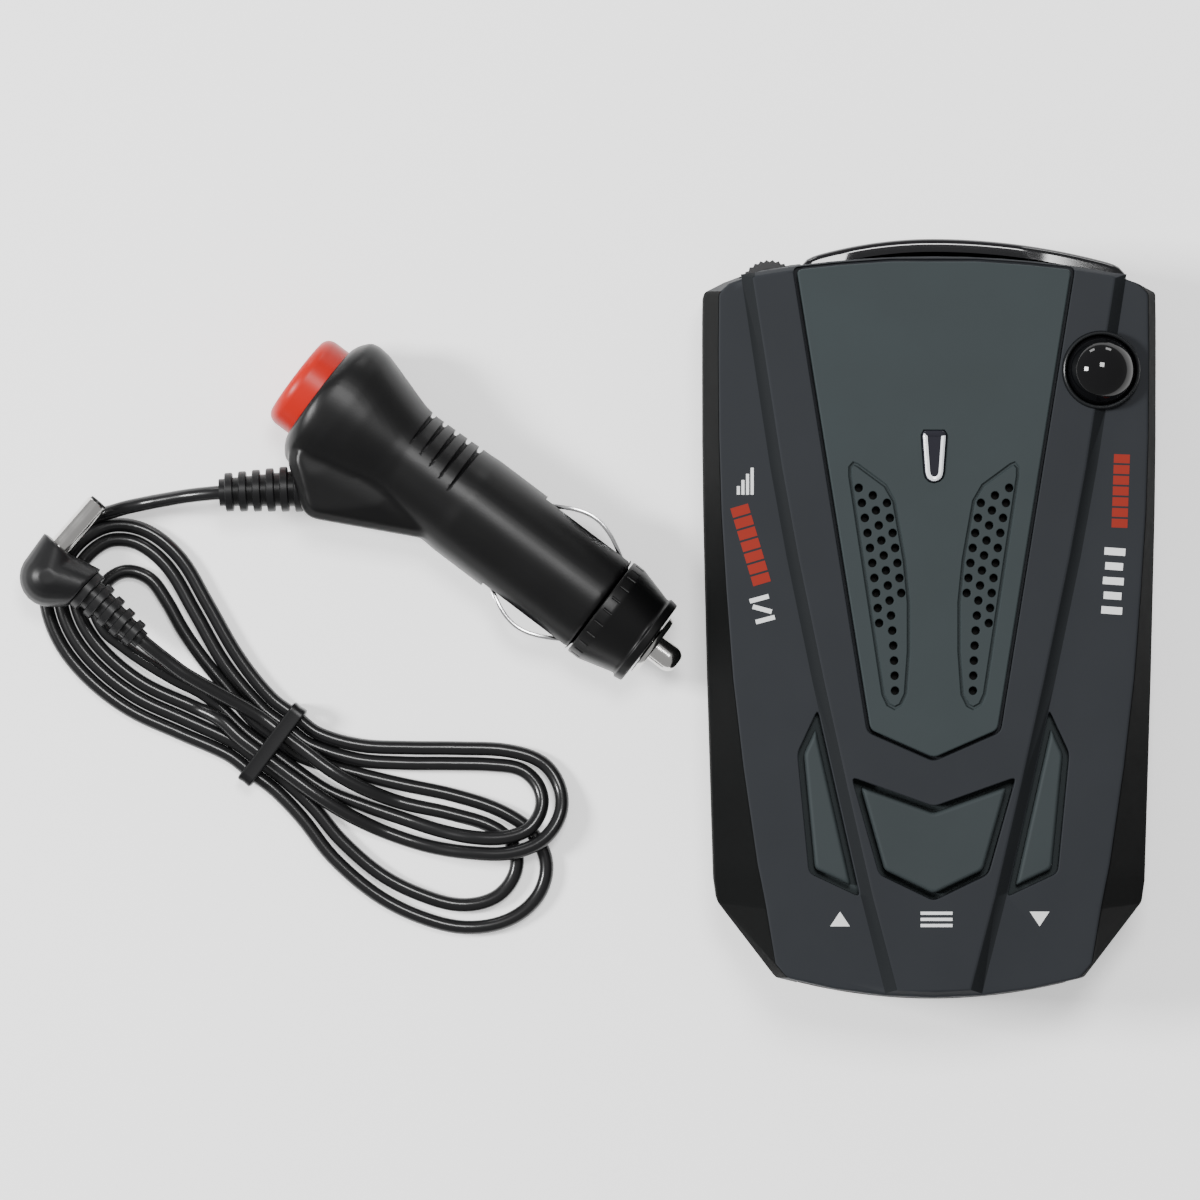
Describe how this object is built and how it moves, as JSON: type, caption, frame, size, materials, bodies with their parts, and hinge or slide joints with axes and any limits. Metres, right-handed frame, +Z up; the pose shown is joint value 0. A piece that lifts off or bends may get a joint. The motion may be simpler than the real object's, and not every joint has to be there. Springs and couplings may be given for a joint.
{
  "type": "radar detector",
  "caption": "Dashboard radar detector with raised V-shaped deck, leaf grilles, laser dome, three keys and a gloss front window, with its separate 12 V plug and lead in a tied hank.",
  "frame": {"origin": "bottom centre of the detector without its lead, on the surface its feet stand on", "axes": "+X to the detector's right, +Y towards its front window (windscreen), +Z up"},
  "size_m": [0.1889, 0.1253, 0.0347],
  "materials": {
    "case_plastic": "fine matt texture",
    "cover_plastic": "fine matt texture",
    "panel_plastic": "satin",
    "grille_cloth": "woven cloth",
    "window_black": "high gloss",
    "dome_black": "high gloss",
    "bezel_plastic": "satin",
    "clear_lens": "clear, polished",
    "smoked_window": "high gloss, smoked",
    "display_module": "matt",
    "circuit_board": "solder resist",
    "screw_steel": "zinc plated",
    "switch_plastic": "matt",
    "horn_brass": "cast and plated",
    "tinned_shield": "tinned",
    "red_optic": "polished",
    "speaker_steel": "pressed steel",
    "speaker_paper": "pressed paper",
    "ferrite": "sintered",
    "lead_wire": "PVC insulation",
    "potentiometer": "moulded",
    "jack_plastic": "moulded",
    "black_screw": "black oxide",
    "foot_rubber": "matt",
    "label_film": "blank printed film",
    "key_plastic": "satin",
    "wheel_plastic": "moulded teeth",
    "plug_plastic": "semi-gloss",
    "red_button": "gloss, translucent",
    "spring_metal": "nickel plated spring steel",
    "nickel_plate": "nickel plated",
    "fuse_glass": "clear",
    "relief_pvc": "soft PVC",
    "cord_pvc": "soft PVC, slightly glossy",
    "tie_plastic": "plastic-coated wire",
    "insulator_black": "moulded",
    "white_print": "screen printed",
    "red_print": "screen printed"
  },
  "bodies": {
    "detector": {"bottom_case": "case_plastic", "top_cover": "cover_plastic", "centre_panel": "panel_plastic", "grille_cloth": "grille_cloth", "front_window": "window_black", "dome_lens": "dome_black", "dome_bezel": "bezel_plastic", "indicator_lens": "clear_lens", "display_window": "smoked_window", "display_module": "display_module", "main_board": "circuit_board", "board_screws": "screw_steel", "key_board": "circuit_board", "tact_switches": "switch_plastic", "horn_antenna": "horn_brass", "receiver_shield": "tinned_shield", "laser_condenser": "red_optic", "laser_sensor": "circuit_board", "speaker_frame": "speaker_steel", "speaker_cone": "speaker_paper", "speaker_magnet": "ferrite", "speaker_leads": "lead_wire", "volume_potentiometer": "potentiometer", "power_jack": "jack_plastic", "case_screws": "black_screw", "rubber_feet": "foot_rubber", "rear_label": "label_film"},
    "up_button": {"up_button": "key_plastic"},
    "menu_button": {"menu_button": "key_plastic"},
    "down_button": {"down_button": "key_plastic"},
    "volume_wheel": {"volume_wheel": "wheel_plastic"},
    "power_lead": {"plug_upper_shell": "plug_plastic", "plug_lower_shell": "plug_plastic", "plug_switch": "switch_plastic", "contact_spring": "spring_metal", "plug_screw": "black_screw", "plug_strain_relief": "relief_pvc", "cord_lead_in": "cord_pvc", "cord_hank": "cord_pvc", "cord_lead_out": "cord_pvc", "cord_tie": "tie_plastic", "jack_plug_body": "relief_pvc", "jack_plug_sleeve": "nickel_plate", "jack_plug_insulator": "insulator_black", "jack_plug_strain_relief": "relief_pvc"},
    "plug_switch_button": {"plug_switch_button": "red_button"},
    "side_contact_left": {"side_contact_left": "spring_metal"},
    "side_contact_right": {"side_contact_right": "spring_metal"},
    "nose_ring": {"nose_ring": "nickel_plate"},
    "nose_cap": {"nose_cap": "plug_plastic"},
    "centre_contact": {"centre_contact": "nickel_plate", "plug_fuse": "fuse_glass"}
  },
  "joints": [
    {"name": "up_button_press", "type": "slide", "parent": "detector", "child": "up_button", "axis": [0, 0, -1], "range_m": [0, 0.0008], "stiffness_N_per_m": 300, "springref_m": -0.001},
    {"name": "menu_button_press", "type": "slide", "parent": "detector", "child": "menu_button", "axis": [0, 0, -1], "range_m": [0, 0.0008], "stiffness_N_per_m": 300, "springref_m": -0.001},
    {"name": "down_button_press", "type": "slide", "parent": "detector", "child": "down_button", "axis": [0, 0, -1], "range_m": [0, 0.0008], "stiffness_N_per_m": 300, "springref_m": -0.001},
    {"name": "volume_wheel_turn", "type": "hinge", "parent": "detector", "child": "volume_wheel", "pos_m": [-0.0266, 0.0545, 0.0195], "axis": [0, 0, 1], "range_deg": [0, 280]},
    {"name": "power_lead_lift", "type": "slide", "parent": "detector", "child": "power_lead", "axis": [0, 0, 1], "range_m": [0, 0.06]},
    {"name": "switch_button_press", "type": "slide", "parent": "power_lead", "child": "plug_switch_button", "axis": [0.7976, -0.6032, 0], "range_m": [0, 0.002], "stiffness_N_per_m": 400, "springref_m": -0.002},
    {"name": "side_contact_left_swing", "type": "hinge", "parent": "power_lead", "child": "side_contact_left", "pos_m": [-0.06279, 0.01912, 0.0098], "axis": [0, 0, -1], "range_deg": [0, 8], "stiffness_Nm_per_rad": 0.2, "springref_deg": -2.86},
    {"name": "side_contact_right_swing", "type": "hinge", "parent": "power_lead", "child": "side_contact_right", "pos_m": [-0.0728, 0.00588, 0.0098], "axis": [0, 0, 1], "range_deg": [0, 8], "stiffness_Nm_per_rad": 0.2, "springref_deg": -2.86},
    {"name": "nose_cap_travel", "type": "slide", "parent": "power_lead", "child": "nose_ring", "axis": [0.7976, -0.6032, 0], "range_m": [0, 0.003]},
    {"name": "nose_cap_unscrew", "type": "hinge", "parent": "nose_ring", "child": "nose_cap", "pos_m": [-0.05264, 0.00104, 0.0098], "axis": [0.7976, -0.6032, 0], "range_deg": [0, 1081]},
    {"name": "centre_contact_press", "type": "slide", "parent": "nose_ring", "child": "centre_contact", "axis": [-0.7976, 0.6032, 0], "range_m": [0, 0.0025], "stiffness_N_per_m": 600, "springref_m": -0.003}
  ],
  "couplings": [
    {"joint": "nose_cap_unscrew", "follows": "nose_cap_travel", "rad_per_m": 6283.2}
  ]
}
